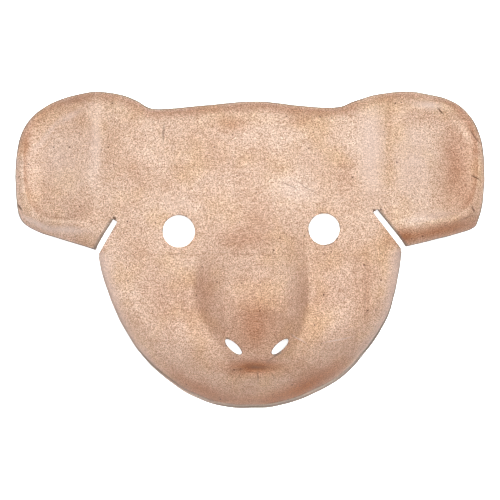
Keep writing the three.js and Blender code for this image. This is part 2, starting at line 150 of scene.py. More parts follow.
cuts = {
    "eyeDiameter": 15.0,
    "socketDepth": 1.8,
    "socketRadius": 13.0,
    # side, out, up, diameter
    "eyes": [(-1, 0.296, 0.116, 1), (1, 0.308, 0.13, 0.97)],
    "nostrilLength": 9.9,
    "nostrilWidth": 3.6,
    # beside the mouth's middle line, down, turn in degrees
    "nostrils": [(-0.207, 0.597, -42.7), (0.205, 0.596, 42)],
    "slitLength": 22.5,
    "slitWidth": 2.8,
    "slitEndWidth": 2.3,
    "slitTrim": 0.3,
    # side, mouth out, mouth up, length, turn in degrees, lead of the cheek's corner
    "slits": [(-1, 0.6415, -0.0095, 0.76, 58.5, 0.098), (1, 0.6465, 0.0115, 1, 51.2, 0.053)],
    "cheekHeight": 2.0,
    "cheekRadius": 13.0,
    # side, out, down
    "cheeks": [(-1, 0.318, 0.528), (1, 0.309, 0.501)],
    "ragged": 0.12,              # unevenness of the hand-cut edges
    "raggedSize": 3.0,
    "cutterHeight": 200.0,
    "cutterLevel": 50.0,
}

relief = {
    "lumps": 0.32,               # slow unevenness left by the wet layers
    "lumpSize": 17.0,
    "dimples": 0.1,
    "dimpleSize": 5.0,
    "trim": 0.28,                # waviness of the scissor cut round the edge
    "trimSize": 8.0,
    "pleats": 0.22,              # small pleats where the paper turns round the ears' edge
    "pleatSize": 5.5,
    "pleatLength": 14.0,
    "pleatPlace": 3.0,           # in from the edge
    "pleatReach": 4.5,
    "calmEdge": 2.5,             # the relief fades out over this width, so that the edge rests flat
}


def bell(distance, width):
    return math.exp(-(distance / width) ** 2)


def readRows(rows, place, column):
    # smooth curve through one column of rows that run down from the highest level
    if place >= rows[0][0]:
        return rows[0][column]
    last = len(rows) - 1
    if place <= rows[last][0]:
        return rows[last][column]
    i = next(k for k, row in enumerate(rows) if row[0] < place) - 1

    def slope(k):
        before, after = rows[max(k - 1, 0)], rows[min(k + 1, last)]
        return (after[column] - before[column]) / (after[0] - before[0])

    span = rows[i + 1][0] - rows[i][0]
    t = (place - rows[i][0]) / span
    start = rows[i][column] * (1 + 2 * t) * (1 - t) ** 2 + slope(i) * span * t * (1 - t) ** 2
    return start + rows[i + 1][column] * t * t * (3 - 2 * t) - slope(i + 1) * span * t * t * (1 - t)


def levelShare(y):
    return y / (shell["crownRise"] if y > 0 else shell["jawDrop"])


def muzzleHeight(x, y):
    level = levelShare(y)
    beside = x - muzzle["ridge"]
    flank = muzzle["width"] * readRows(muzzle["rows"], level, 2 if beside < 0 else 3)
    across = abs(beside) / flank
    if across >= 1:
        return 0
    rise = muzzle["rise"] * readRows(muzzle["rows"], level, 1)
    return rise * (1 - across ** readRows(muzzle["rows"], level, 4)) ** muzzle["fall"]


def mouthCrease(x, y):
    along = (x - muzzle["mouthOffset"]) / muzzle["mouthHalfWidth"]
    level = muzzle["mouthLevel"] * shell["jawDrop"] + muzzle["mouthTurnUp"] * along * along
    return muzzle["mouthDepth"] * bell(y - level, muzzle["mouthHeight"]) * bell(along, 1)


def earRelief(x, y):
    height = 0
    for side, out, up, across, tall, valleyOut in ears["dishes"]:
        u = (side * x / shell["halfWidth"] - out) / across
        v = (y / shell["crownRise"] - up) / tall
        radius = (abs(u) ** ears["dishPower"] + abs(v) ** ears["dishPower"]) ** (1 / ears["dishPower"])
        if radius < 1:
            depth = ears["dishDepth"] * (1 + ears["dishLean"] * u)
            height -= depth * (1 - radius ** ears["dishWallPower"])
        grown = min(max((u - ears["ridgeStart"]) / ears["ridgeGrowth"], 0), 1)
        height += ears["ridge"] * grown * bell(radius - ears["ridgeRadius"], ears["ridgeWidth"])
        fade = 1 / (1 + math.exp((ears["valleyFoot"] * shell["crownRise"] - y) / ears["valleyWidth"]))
        valley = bell(x - side * valleyOut * shell["halfWidth"], ears["valleyWidth"])
        height -= ears["valleyDepth"] * fade * valley
    return height


def headHeight(x, y):
    earSweep = 1 - shell["earTipDepth"] / shell["crownDepth"]
    sweep = 1 - earSweep * min(abs(x) / shell["halfWidth"], 1) ** shell["sweep"]
    height = shell["crownDepth"] * sweep * readRows(shell["head"], levelShare(y), 1)
    height += muzzleHeight(x, y) + earRelief(x, y) - mouthCrease(x, y)
    for side, out, up, _ in cuts["eyes"]:
        away = math.hypot(x - side * out * shell["halfWidth"], y - up * shell["crownRise"])
        height -= cuts["socketDepth"] * bell(away, cuts["socketRadius"])
    for side, out, down in cuts["cheeks"]:
        away = math.hypot(x - side * out * shell["halfWidth"], y + down * shell["jawDrop"])
        height += cuts["cheekHeight"] * bell(away, cuts["cheekRadius"])
    return height


def slitCorners(slit):
    # the mouth's middle, the way into the head, the way to the ear, and both corners
    side, mouthOut, mouthUp, _, turn, lead = slit
    turn = math.radians(turn)
    inward = Vector((-side * math.cos(turn), math.sin(turn)))
    toEar = Vector((side * math.sin(turn), math.cos(turn)))
    mouth = Vector((side * mouthOut * shell["halfWidth"], mouthUp * shell["crownRise"]))
    offset = cuts["slitWidth"] / 2 - cuts["slitTrim"]
    earCorner = mouth + toEar * offset
    cheekCorner = mouth - toEar * offset - inward * lead * cuts["slitLength"]
    return mouth, inward, toEar, earCorner, cheekCorner


def hubOf(corner, inward):
    run = (shell["hubLevel"] * shell["crownRise"] - corner.y) / inward.y
    return (corner.x + inward.x * run) / shell["halfWidth"]


def curveThrough(rows, steps):
    # rows are tuples: x, y, hub, bend, upright share
    rows = [Vector(row) for row in rows]
    knots = [2 * rows[0] - rows[1], *rows, 2 * rows[-1] - rows[-2]]
    stations = []
    for i in range(1, len(knots) - 2):
        a, b, c, d = knots[i - 1:i + 3]
        for k in range(steps):
            t = k / steps
            curve = b * 2 + (c - a) * t + (a * 2 - b * 5 + c * 4 - d) * t * t
            stations.append((curve + (b * 3 - c * 3 + d - a) * t ** 3) / 2)
    return stations + [rows[-1]]


def outlineStations():
    halfWidth, drop, rise = shell["halfWidth"], shell["jawDrop"], shell["crownRise"]
    corners = [slitCorners(slit) for slit in cuts["slits"]]
    cheekEnds, earEnds = [], []
    for _, inward, _, earCorner, cheekCorner in corners:
        cheekEnds.append((*cheekCorner, hubOf(cheekCorner, inward), 0, 0))
        earEnds.append((*earCorner, hubOf(earCorner, inward), shell["lipWidth"], shell["crown"][0][6]))
    jawLeft = [(-lo * halfWidth, -ld * drop, -hub, 0, 0) for lo, ld, _, _, hub in shell["jaw"]]
    jawRight = [(ro * halfWidth, -rd * drop, hub, 0, 0) for _, _, ro, rd, hub in shell["jaw"]]
    crownLeft = [(-lo * halfWidth, lu * rise, -hub, lip * shell["lipWidth"], steep)
                 for lo, lu, _, _, hub, lip, steep in shell["crown"]]
    crownRight = [(ro * halfWidth, ru * rise, hub, lip * shell["lipWidth"], steep)
                  for _, _, ro, ru, hub, lip, steep in shell["crown"]]
    jaw = curveThrough([cheekEnds[0], *jawLeft[::-1], *jawRight[1:], cheekEnds[1]], shell["jawSteps"])
    crown = curveThrough([earEnds[1], *crownRight, *crownLeft[::-1][1:], earEnds[0]], shell["crownSteps"])
    stations = []
    for row, isJaw in [(row, True) for row in jaw] + [(row, False) for row in crown]:
        point = Vector((row[0], row[1]))
        wave = noise.noise(Vector((row[0], row[1], 3.0)) / relief["trimSize"]) * relief["trim"]
        hub = Vector((row[2] * halfWidth, shell["hubLevel"] * rise))
        inward = (hub - point).normalized()
        point += inward * wave
        rim = 0 if isJaw else max(0, headHeight(*point) - shell["lipDepth"])
        flange, bend, steep = 0.0, row[3], row[4]
        if isJaw:
            level, column = row[1] / drop, 1 if row[0] < 0 else 3
            flange, bend = shell["flange"], readRows(shell["jawWall"], level, column) * shell["jawBend"]
            steep = readRows(shell["jawWall"], level, column + 1)
        stations.append({"point": point, "inward": inward, "bend": bend, "steep": steep,
                         "flange": flange, "rim": rim, "isJaw": isJaw,
                         "run": (hub - point).length * shell["hubShare"]})
    return stations


def ringDistances(station):
    # from the cut edge over the rolled band, then evenly on to the hub line
    knee = station["flange"] + shell["cornerSetback"] + shell["kneeWalls"] * shell["wall"] * station["steep"]
    distances = [0, station["flange"], station["flange"] + shell["cornerSetback"]]
    if not station["isJaw"]:
        distances[1] = shell["cornerSetback"] / 2
    for k in range(shell["bandRings"]):
        share = (k / (shell["bandRings"] - 1)) ** shell["bandSpread"]
        distances.append(knee + (station["bend"] - knee) * share)
    for k in range(1, shell["innerRings"] + 1):
        share = k / shell["innerRings"]
        distances.append(station["bend"] + share * (station["run"] - station["bend"]))
    return distances


def shellHeight(station, x, y, distance):
    foot = shell["wall"] if station["isJaw"] else 0
    rim = station["rim"] + foot
    if distance <= station["flange"]:
        return rim
    share = min((distance - station["flange"]) / (station["bend"] - station["flange"]), 1)
    power = shell["jawCurve"] if station["isJaw"] else shell["lipCurve"]
    rolled = (1 - (1 - share) ** power) ** (1 / power)
    return rim + (headHeight(x, y) - rim) * (station["steep"] + (1 - station["steep"]) * rolled)


def paperRelief(station, x, y, distance, around):
    # lumps all over, and pleats that fade out past the turned-back edge; the bare numbers in the
    # noise's places only pick another part of it
    place = Vector((x, y, 0))
    height = relief["lumps"] * noise.noise(place / relief["lumpSize"])
    height += relief["dimples"] * noise.noise(place / relief["dimpleSize"] + Vector((7, 3, 0)))
    if not station["isJaw"]:
        pleat = noise.noise(Vector((around / relief["pleatSize"], 11, distance / relief["pleatLength"])))
        height += relief["pleats"] * pleat * bell(distance - relief["pleatPlace"], relief["pleatReach"])
    return height * min(distance / relief["calmEdge"], 1)


def growShell():
    # a ring of vertices on the outline is extruded inwards, ring by ring, to the hub line
    stations = outlineStations()
    bm = bmesh.new()
    stationLayer = bm.verts.layers.int.new("station")
    distanceLayer = bm.verts.layers.float.new("distance")
    circle = bmesh.ops.create_circle(bm, segments=len(stations), radius=1)
    for i, vert in enumerate(circle["verts"]):
        vert[stationLayer] = i
    distances = [ringDistances(station) for station in stations]
    edges, verts = bm.edges[:], circle["verts"]
    for ring in range(len(distances[0])):
        if ring:
            grown = bmesh.ops.extrude_edge_only(bm, edges=edges)["geom"]
            verts = [part for part in grown if isinstance(part, bmesh.types.BMVert)]
            edges = [part for part in grown if isinstance(part, bmesh.types.BMEdge) and part.is_boundary]
        for vert in verts:
            station = stations[vert[stationLayer]]
            distance = distances[vert[stationLayer]][ring]
            vert[distanceLayer] = distance
            place = station["point"] + station["inward"] * distance
            vert.co = (place.x, place.y, shellHeight(station, place.x, place.y, distance))
    bmesh.ops.triangle_fill(bm, use_beauty=True, edges=edges)
    bmesh.ops.recalc_face_normals(bm, faces=bm.faces[:])
    if sum(face.normal.z for face in bm.faces) < 0:
        bmesh.ops.reverse_faces(bm, faces=bm.faces[:])
    around = [0.0]
    for before, after in zip(stations, stations[1:]):
        around.append(around[-1] + (after["point"] - before["point"]).length)
    bm.normal_update()
    for vert in bm.verts:
        i = vert[stationLayer]
        x, y, _ = vert.co
        vert.co += vert.normal * paperRelief(stations[i], x, y, vert[distanceLayer], around[i])
    bmesh.ops.scale(bm, vec=(mm, mm, mm), verts=bm.verts[:])
    return bm


def cutterMesh():
    bm = bmesh.new()
    halfWidth, drop, rise = shell["halfWidth"], shell["jawDrop"], shell["crownRise"]
    height, level = cuts["cutterHeight"], cuts["cutterLevel"]
    for side, out, up, diameter in cuts["eyes"]:
        radius = diameter * cuts["eyeDiameter"] / 2
        made = bmesh.ops.create_cone(bm, cap_ends=True, segments=72, radius1=radius, radius2=radius,
                                     depth=height)["verts"]
        for vert in made:      # the punch left the rim a little uneven
            wave = noise.noise(Vector((vert.co.x, vert.co.y, side)) / cuts["raggedSize"])
            vert.co.xy *= 1 + cuts["ragged"] / radius * wave
        bmesh.ops.translate(bm, verts=made, vec=(side * out * halfWidth, up * rise, level))
    for beside, down, turn in cuts["nostrils"]:
        made = bmesh.ops.create_cone(bm, cap_ends=True, segments=48, radius1=0.5, radius2=0.5,
                                     depth=height)["verts"]
        bmesh.ops.scale(bm, vec=(cuts["nostrilLength"], cuts["nostrilWidth"], 1), verts=made)
        bmesh.ops.rotate(bm, verts=made, matrix=Matrix.Rotation(math.radians(turn), 3, "Z"))
        place = (muzzle["mouthOffset"] + beside * muzzle["width"], -down * drop, level)
        bmesh.ops.translate(bm, verts=made, vec=place)
    for slit in cuts["slits"]:
        mouth, inward, toEar, _, _ = slitCorners(slit)
        length = slit[3] * cuts["slitLength"]
        overrun = slit[5] * cuts["slitLength"] + shell["flange"] + shell["wall"]
        middle = mouth + inward * (length - overrun) / 2
        turn = math.degrees(math.atan2(inward.y, inward.x))
        made = bmesh.ops.create_cube(bm, size=1)["verts"]
        bmesh.ops.scale(bm, vec=(length + overrun, cuts["slitWidth"], height), verts=made)
        bmesh.ops.rotate(bm, verts=made, matrix=Matrix.Rotation(math.radians(turn), 3, "Z"))
        bmesh.ops.translate(bm, verts=made, vec=(*middle, level))
        end = mouth + inward * length
        for vert in made:      # the inner end closes in
            away = vert.co.xy - end
            if away.length < cuts["slitWidth"]:
                across = away.dot(toEar)
                vert.co.xy -= toEar * across * (1 - cuts["slitEndWidth"] / cuts["slitWidth"])
    bmesh.ops.scale(bm, vec=(mm, mm, mm), verts=bm.verts[:])
    bmesh.ops.recalc_face_normals(bm, faces=bm.faces[:])
    for face in bm.faces:
        face.material_index = 1
    return bm


def meshObject(name, bm, materials):
    mesh = bpy.data.meshes.new(name)
    bm.to_mesh(mesh)
    bm.free()
    for material in materials:
        mesh.materials.append(material)
    piece = bpy.data.objects.new(name, mesh)
    bpy.context.scene.collection.objects.link(piece)
    return piece


def hexColor(text):
    # sRGB hex to linear
    parts = [int(text[i:i + 2], 16) / 255 for i in (1, 3, 5)]
    linear = [p / 12.92 if p <= 0.04045 else ((p + 0.055) / 1.055) ** 2.4 for p in parts]
    return (*linear, 1.0)


def addNode(tree, kind, settings=None, inputs=None, output=0):
    # adds a node, sets it up, links it, and gives back the output asked for
    node = tree.nodes.new(kind)
    for name, value in (settings or {}).items():
        setattr(node, name, value)
    for name, value in (inputs or {}).items():
        if isinstance(value, bpy.types.NodeSocket):
            tree.links.new(value, node.inputs[name])
        else:
            node.inputs[name].default_value = value
    return node.outputs[output] if len(node.outputs) else node


# Kraft paper, raw and unpainted: torn pieces pasted in layers and dried matt. Short brown
# fibres, faint edges of the pieces, soft stains from the paste and a scatter of dark specks. Painted
# shade and painted highlights are mixed in: on the slopes, in creases, along edges and in patches.
paper = {
    "base": "#d5b59c",
    "pale": "#e7cfbc",
    "deep": "#b98e70",
    "pink": "#e6d0c8",
    "yellowish": "#dcb888",
    "speck": "#6d4a37",
    # painted shade in the creases
    "crease": "#71503c",
    "edge": "#e3d8cc",
    # multiplied in for painted shade on the slopes and for the stain patches
    "shadeAndStain": "#bf8450",
    # painted shadow and dirt at the cut edges
    "edgeShadowAndDirt": "#6f6257",
    "roughness": 0.72,
    "grainSize": 0.58,            # coarser than real fibre ends, so that it shows
    "grainStrength": 1.0,
    "grainDepth": 0.06,
    "grainRange": (0.385, 0.625),
    "grainLight": (1.46, 1.53, 1.6, 1),      # these two multiply the colour
    "grainDark": (0.46, 0.31, 0.21, 1),
    "mottleSize": 2.4,
    "fibreWidth": 0.55,          # drawn coarser than real fibres, so that they show
    "fibreLength": 3.2,
    "fibreDepth": 0.05,
    "pieceLength": 62.0,         # strips of paper, torn by hand
    "pieceHeight": 41.0,
    "pieceEdge": 0.35,
    "pieceTint": (0.9, 0.87, 0.86, 1),
    "pieceEdgeTint": (0.82, 0.75, 0.7, 1),
    "tear": 2.4,
    "stainSize": 24.0,
    "hueSize": 19.0,
    "speckSpacing": 7.0,
    "speckSize": 0.42,
    "creaseDepth": 0.25,
    "rimLine": 0.3,              # painted shadow and dirt along the cut edge, none at the jaw's left, more painted shade at the chin
    "chinEdgeShade": 0.6,
    "lipShade": 0.65,            # painted shade along the turned-back edge
    "lipShadeWidth": 2.4,
    "lipShadePlace": 2.0,
    "lipShadeStart": 0.6,        # a share of crownRise, so that it leaves out the ears' lower sides
    "lipWear": 0.5,              # the outermost edge of ears and forehead is rubbed pale
    "lipWearWidth": 1.2,
    "jawSideLight": 0.9,              # painted light: the jaw's sides are painted paler near the edge, the chin isn't
    "jawSideLightWidth": 4.0,
    "chinReach": 26.0,
    # painted shade in a band just inside the chin's edge
    "chinShade": 0.6,
    "chinShadePlace": 4.0,
    "chinShadeWidth": 4.0,
    # x, y, half width, half height, turn, strength: below 0 is a paler, pinker patch. Paste stains mixed
    # with painted shade (under the muzzle, over the lower face, along the ears' lower edges) and painted
    # highlights (thin strips along the ears' ridges)
    "stains": [
        (-8, 59, 8, 4.2, -8, 0.8), (24, 61, 6, 2.8, 0, 0.55), (6, 67, 35, 2.4, 0, 0.1),
        (-4, 5, 12, 6, 0, 0.55), (6, 18, 6.6, 9.4, 0, 0.3), (-21, -17, 4.2, 12.6, 0, 0.35),
        (26, -18, 4.2, 14, 0, -0.2), (2, -36, 9, 12, 0, 0.8), (2, -55.5, 13, 3.6, 0, 1.6),
        (-23, -66, 15, 3.8, -22, 0.35), (28, -63, 22, 5, 25, 0.9), (0, -28, 48, 26, 0, 0.5),
        (-44, -24, 16, 20, 0, 0.25), (46, -22, 16, 20, 0, 0.35), (0, 35, 46, 26, 0, 0.22),
        (72, 8, 5, 4.5, 0, 0.8),
        (-87, 20, 14, 6.2, -12, 0.3), (-69, 40, 2.8, 22.6, 0, 0.15), (-98, 56, 6.7, 4.8, 35, 0.35),
        (-104, 28, 5, 16, 0, 0.1), (98, 43, 7, 19, 0, 1), (83, 63, 10.4, 4.3, 0, 0.4),
        (88, 8.6, 24, 3.4, 12, 1.3), (86, 15.5, 18, 1.8, 10, -0.5), (66, 47, 1.4, 22.6, 0, 0.3),
        (104, 25, 3.8, 7.6, 0, 0.4),
        (45, 36, 4.2, 13, 0, 0.3), (-55, 33, 4.7, 23.5, 0, 0.2), (55, -17, 1.9, 19, 0, 0.3),
        (57, 47, 5.6, 23.5, 0, -0.7), (77, 42, 8.5, 16, 0, -0.45), (-73, 52, 3.3, 19.8, 0, -0.6),
        (-90, 40, 10.4, 14, 0, -0.25), (20, 28, 14, 6, -8, -0.5), (29, 42, 12, 10, 0, -0.35),
        (-33, 23, 12, 7.5, 0, -0.3), (-31, -7, 9.4, 5.2, 0, -0.4), (16, -12, 6.5, 7.5, 0, -0.35),
        (-7, -16, 7.4, 6.5, 0, -0.25), (-52, -24, 5.7, 14, 25, -0.3), (38, -31, 9.4, 4.7, 20, -0.3),
        (85, 69, 7, 2.6, -10, -0.9), (-102, 12.8, 7, 1.2, -28, -0.9), (-88, 9.6, 10, 1.5, -3, -0.9),
        (-88, 4.8, 17, 2.2, -15, 0.4), (-97, 55, 9, 1.5, 49, -0.7), (-85, 64, 6, 1.5, 29, -0.6),
        (101, 58, 14, 2, -52, -0.5),
    ],
    # from x, y to x, y, half width, strength: above 0 is painted shade in the crease, below 0 a painted
    # highlight where it catches the light
    "creases": [
        (-40.6, 60.8, -40.6, 50, 0.77, 0.5), (12.9, 32.6, 23.2, 28.4, 0.43, 0.45),
        (19, 34.5, 33.5, 24.6, 0.38, 0.4), (54.5, -0.2, 54.5, -38, 0.58, 0.15),
        (18.6, -38.8, 27.5, -44.9, 0.43, -0.5), (32.3, -44.1, 50.3, -40.8, 0.43, -0.5),
        (7.3, -53.3, 16.2, -46.7, 0.43, 0.6), (-44.3, -2.1, -23.2, -2.1, 0.43, 0.18),
        (-21.8, -1.2, 5.9, -2.1, 0.38, 0.18), (10.5, 16, 11, -22, 0.4, 0.15),
        (88.9, 67.6, 92.7, 64.3, 0.43, 0.9),
        (104.2, 58.4, 110.4, 49.8, 0.43, 0.8), (105.1, 36.5, 110.9, 32.7, 0.48, 1),
        (105.3, 21.7, 108.1, 17.4, 0.43, 0.8), (88.1, 33.9, 90.9, 32, 0.34, 0.5),
        (-111.1, 22.2, -108.7, 18.9, 0.5, 1.2), (-2.5, -55, 9.5, -55.4, 1.8, 0.55),
        (-11, -57, 1, -55.6, 1.3, 0.35),
        (-64.6, 15.4, -63.6, 14.8, 0.6, 1.6), (58.2, 18.8, 59, 18, 0.75, 1.6),
        (61, 17.7, 62.4, 20.5, 0.34, 0.6), (3.5, -56, 3.5, -63.6, 0.53, 0.5),
        (-4, -57, -6.4, -61.7, 0.43, 0.35), (9.7, -57.4, 12.5, -61.7, 0.43, 0.35),
        (96.8, 13.1, 109.2, 17.4, 0.38, 0.5), (-108.8, 17.9, -103.1, 10.3, 0.48, -0.5),
    ],
}


def stainAndShadeAt(x, y):
    total = 0
    for spotX, spotY, halfWidth, halfHeight, turn, strength in paper["stains"]:
        away = Vector((x - spotX, y - spotY))
        away.rotate(Matrix.Rotation(-math.radians(turn), 2))
        total += strength * bell(math.hypot(away.x / halfWidth, away.y / halfHeight), 1)
    return total


def paperCoordinates(tree):
    # object coordinates in millimetres
    place = addNode(tree, "ShaderNodeTexCoord", output="Object")
    return addNode(tree, "ShaderNodeMapping", inputs={"Vector": place, "Scale": (1000, 1000, 1000)})


def creaseMarks(tree, place, below):
    # each crease is a long ellipse that fades from its middle line outwards
    total = None
    for fromX, fromY, toX, toY, halfWidth, strength in paper["creases"]:
        if (strength < 0) != below:
            continue
        half = Vector((toX - fromX, toY - fromY)) / 2
        spot = addNode(tree, "ShaderNodeMapping", {"vector_type": "TEXTURE"}, {
            "Vector": place, "Location": (fromX + half.x, fromY + half.y, 0),
            "Rotation": (0, 0, math.atan2(half.y, half.x)),
            "Scale": (half.length + halfWidth, halfWidth, 1000)})
        fade = addNode(tree, "ShaderNodeTexGradient", {"gradient_type": "SPHERICAL"}, {"Vector": spot},
                       output="Fac")
        mark = addNode(tree, "ShaderNodeMath", {"operation": "MULTIPLY", "use_clamp": True}, {
            0: fade, 1: 1.5 * abs(strength)})
        total = mark if total is None else addNode(tree, "ShaderNodeMath", {"operation": "MAXIMUM"}, {
            0: total, 1: mark})
    return total


def kraftPaper():
    material = bpy.data.materials.new("layeredKraftPaper")
    material.use_nodes = True
    tree = material.node_tree
    tree.nodes.clear()
    place = paperCoordinates(tree)
    wander = addNode(tree, "ShaderNodeTexNoise", inputs={"Vector": place, "Scale": 0.12, "Detail": 3},
                     output="Color")
    wander = addNode(tree, "ShaderNodeVectorMath", {"operation": "SUBTRACT"}, {
        0: wander, 1: (0.5, 0.5, 0.5)})
    wander = addNode(tree, "ShaderNodeVectorMath", {"operation": "SCALE"}, {
        0: wander, "Scale": paper["tear"]})
    torn = addNode(tree, "ShaderNodeVectorMath", {"operation": "ADD"}, {0: place, 1: wander})

    # soft stains, then the tint of each torn piece
    stains = addNode(tree, "ShaderNodeTexNoise", inputs={
        "Vector": place, "Scale": 1 / paper["stainSize"], "Detail": 3, "Roughness": 0.55})
    stainFactor = addNode(tree, "ShaderNodeMapRange", inputs={
        "Value": stains, "From Min": 0.35, "From Max": 0.68})
    color = addNode(tree, "ShaderNodeMix", {"data_type": "RGBA"}, {
        0: stainFactor, 6: hexColor(paper["base"]), 7: hexColor(paper["pale"])}, output=2)
    hue = addNode(tree, "ShaderNodeTexNoise", inputs={
        "Vector": place, "Scale": 1 / paper["hueSize"], "Detail": 2, "Roughness": 0.5})
    hueFactor = addNode(tree, "ShaderNodeMapRange", inputs={
        "Value": hue, "From Min": 0.47, "From Max": 0.66, "To Max": 0.36})
    color = addNode(tree, "ShaderNodeMix", {"data_type": "RGBA"}, {
        0: hueFactor, 6: color, 7: hexColor(paper["yellowish"])}, output=2)
    laid = addNode(tree, "ShaderNodeMapping", inputs={"Vector": torn, "Location": (12, 2.1, 0)})
    pieces = addNode(tree, "ShaderNodeTexBrick", {"offset": 0.4}, {
        "Vector": laid, "Scale": 1, "Brick Width": paper["pieceLength"],
        "Row Height": paper["pieceHeight"], "Mortar Size": paper["pieceEdge"], "Mortar Smooth": 1,
        "Color1": (1, 1, 1, 1), "Color2": paper["pieceTint"], "Mortar": paper["pieceEdgeTint"]})
    color = addNode(tree, "ShaderNodeMix", {"data_type": "RGBA", "blend_type": "MULTIPLY"}, {
        0: 0.8, 6: color, 7: pieces}, output=2)

    # grain, mottle and fibres
    grain = addNode(tree, "ShaderNodeTexNoise", inputs={
        "Vector": place, "Scale": 1 / paper["grainSize"], "Detail": 2, "Roughness": 0.9})
    grainFactor = addNode(tree, "ShaderNodeMapRange", inputs={
        "Value": grain, "From Min": paper["grainRange"][0], "From Max": paper["grainRange"][1]})
    grainTint = addNode(tree, "ShaderNodeMix", {"data_type": "RGBA"}, {
        0: grainFactor, 6: paper["grainLight"], 7: paper["grainDark"]}, output=2)
    color = addNode(tree, "ShaderNodeMix", {"data_type": "RGBA", "blend_type": "MULTIPLY"}, {
        0: paper["grainStrength"], 6: color, 7: grainTint}, output=2)
    mottle = addNode(tree, "ShaderNodeTexNoise", inputs={
        "Vector": place, "Scale": 1 / paper["mottleSize"], "Detail": 3, "Roughness": 0.6})
    mottleFactor = addNode(tree, "ShaderNodeMapRange", inputs={
        "Value": mottle, "From Min": 0.45, "From Max": 0.75, "To Max": 0.32})
    color = addNode(tree, "ShaderNodeMix", {"data_type": "RGBA"}, {
        0: mottleFactor, 6: color, 7: hexColor(paper["deep"])}, output=2)
    combed = addNode(tree, "ShaderNodeMapping", inputs={
        "Vector": torn, "Rotation": (0, 0, math.radians(34)),
        "Scale": (1 / paper["fibreLength"], 1 / paper["fibreWidth"], 1 / paper["fibreWidth"])})
    fibres = addNode(tree, "ShaderNodeTexNoise", inputs={
        "Vector": combed, "Scale": 1, "Detail": 1, "Distortion": 0.8})
    fibreFactor = addNode(tree, "ShaderNodeMapRange", inputs={
        "Value": fibres, "From Min": 0.55, "From Max": 0.72, "To Max": 0.6})
    color = addNode(tree, "ShaderNodeMix", {"data_type": "RGBA"}, {
        0: fibreFactor, 6: color, 7: hexColor(paper["deep"])}, output=2)

    # a few cells in the scatter hold a speck of bark
    scatter = {"Vector": place, "Scale": 1 / paper["speckSpacing"]}
    speckDistance = addNode(tree, "ShaderNodeTexVoronoi", {"voronoi_dimensions": "2D"}, scatter)
    speckPick = addNode(tree, "ShaderNodeTexVoronoi", {"voronoi_dimensions": "2D"}, scatter,
                        output="Color")
    speckSize = addNode(tree, "ShaderNodeMapRange", inputs={
        "Value": speckPick, "From Min": 0.45, "From Max": 1,
        "To Max": paper["speckSize"] / paper["speckSpacing"]})
    speckMark = addNode(tree, "ShaderNodeMath", {"operation": "DIVIDE", "use_clamp": True}, {
        0: speckSize, 1: speckDistance})
    speckMark = addNode(tree, "ShaderNodeMath", {"operation": "POWER"}, {0: speckMark, 1: 6})
    color = addNode(tree, "ShaderNodeMix", {"data_type": "RGBA"}, {
        0: speckMark, 6: color, 7: hexColor(paper["speck"])}, output=2)

    # painted shade where the paper turns down, darker the steeper it is, and paste stains mixed with painted
    # shade in patches
    slope = addNode(tree, "ShaderNodeAttribute", {"attribute_name": "slope"}, output=2)
    shadeAndStain = addNode(tree, "ShaderNodeMapRange", inputs={
        "Value": slope, "From Min": 0.03, "From Max": 0.7, "To Max": 0.3})
    patches = addNode(tree, "ShaderNodeAttribute", {"attribute_name": "stainAndShade"}, output=2)
    shadeAndStain = addNode(tree, "ShaderNodeMath", {"operation": "ADD", "use_clamp": True}, {
        0: shadeAndStain, 1: addNode(tree, "ShaderNodeMapRange", inputs={
            "Value": patches, "From Max": 1.6, "To Max": 0.8})})
    color = addNode(tree, "ShaderNodeMix", {"data_type": "RGBA", "blend_type": "MULTIPLY"}, {
        0: shadeAndStain, 6: color, 7: hexColor(paper["shadeAndStain"])}, output=2)
    # below 0: paler, pinker patches, some of them painted highlights along the ears' ridges
    palePatch = addNode(tree, "ShaderNodeMapRange", inputs={
        "Value": patches, "From Min": 0, "From Max": -1, "To Max": 0.6})
    color = addNode(tree, "ShaderNodeMix", {"data_type": "RGBA"}, {
        0: palePatch, 6: color, 7: hexColor(paper["pink"])}, output=2)

    # painted shade in the creases and painted highlights beside them, then painted shadow and dirt along the
    # cut edge
    paintedCreaseShade = creaseMarks(tree, torn, False)
    paintedCreaseHighlight = creaseMarks(tree, torn, True)
    color = addNode(tree, "ShaderNodeMix", {"data_type": "RGBA"}, {
        0: paintedCreaseShade, 6: color, 7: hexColor(paper["crease"])}, output=2)
    color = addNode(tree, "ShaderNodeMix", {"data_type": "RGBA"}, {
        0: paintedCreaseHighlight, 6: color, 7: hexColor(paper["pink"])}, output=2)
    level = addNode(tree, "ShaderNodeSeparateXYZ", inputs={"Vector": place}, output="Z")
    flange = addNode(tree, "ShaderNodeMapRange", inputs={
        "Value": level, "From Min": 1.2 * shell["wall"], "From Max": 1.5 * shell["wall"],
        "To Min": 0.6, "To Max": 0})
    color = addNode(tree, "ShaderNodeMix", {"data_type": "RGBA"}, {
        0: flange, 6: color, 7: hexColor(paper["edge"])}, output=2)
    # painted shadow and dirt along the outline and round the holes and slits
    rim = addNode(tree, "ShaderNodeAttribute", {"attribute_name": "rim"}, output=2)
    rimShadowAndDirt = addNode(tree, "ShaderNodeMapRange", inputs={
        "Value": rim, "From Min": paper["rimLine"], "From Max": 2 * paper["rimLine"],
        "To Min": 0.8, "To Max": 0})
    cut = addNode(tree, "ShaderNodeAttribute", {"attribute_name": "cut"}, output=2)
    cutShadowAndDirt = addNode(tree, "ShaderNodeMapRange", inputs={
        "Value": cut, "From Min": 0.1, "From Max": 0.9, "To Max": 0.9})
    edgeShadowAndDirt = addNode(tree, "ShaderNodeMath", {"operation": "MAXIMUM"}, {0: rimShadowAndDirt, 1: cutShadowAndDirt})
    color = addNode(tree, "ShaderNodeMix", {"data_type": "RGBA"}, {
        0: edgeShadowAndDirt, 6: color, 7: hexColor(paper["edgeShadowAndDirt"])}, output=2)

